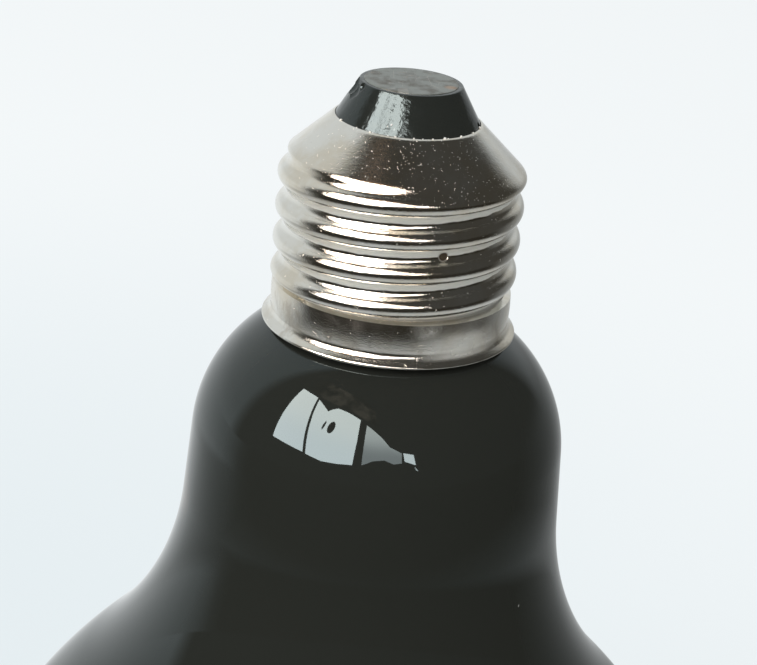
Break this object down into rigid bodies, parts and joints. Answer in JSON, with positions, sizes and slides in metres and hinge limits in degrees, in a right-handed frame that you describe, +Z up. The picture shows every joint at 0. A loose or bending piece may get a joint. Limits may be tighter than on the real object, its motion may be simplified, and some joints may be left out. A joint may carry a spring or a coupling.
{
  "type": "reptile night bulb",
  "caption": "Reflector heat and night lamp of opaque black glass with a nickel-plated 27 mm screw cap, standing on its domed face.",
  "frame": {"origin": "middle of the domed face that the lamp stands on, on the lamp's axis", "axes": "+Z up the lamp's axis from the face to the centre contact; +X towards the side where the top thread crest is 17.8 mm above the cap's rim"},
  "size_m": [0.095, 0.095, 0.1358],
  "materials": {
    "black_glass": "glossy opaque black glass with a brown cast",
    "nickel_plate": "bright nickel plate over thin sheet, scuffed and faintly stained",
    "insulator_glass": "glossy black moulded glass, chipped at its top edge",
    "contact_metal": "dull, scratched and tinned, with bare copper colour where it is worn",
    "solder": "dull grey solder, pressed flat",
    "cement": "matte baked cement",
    "lead_wire": "plain drawn wire"
  },
  "bodies": {
    "root": {"glass_envelope": "black_glass", "screw_shell": "nickel_plate", "insulator": "insulator_glass", "contact_plate": "contact_metal", "contact_solder": "solder", "basing_cement": "cement", "centre_lead": "lead_wire", "side_lead": "lead_wire"}
  },
  "joints": []
}
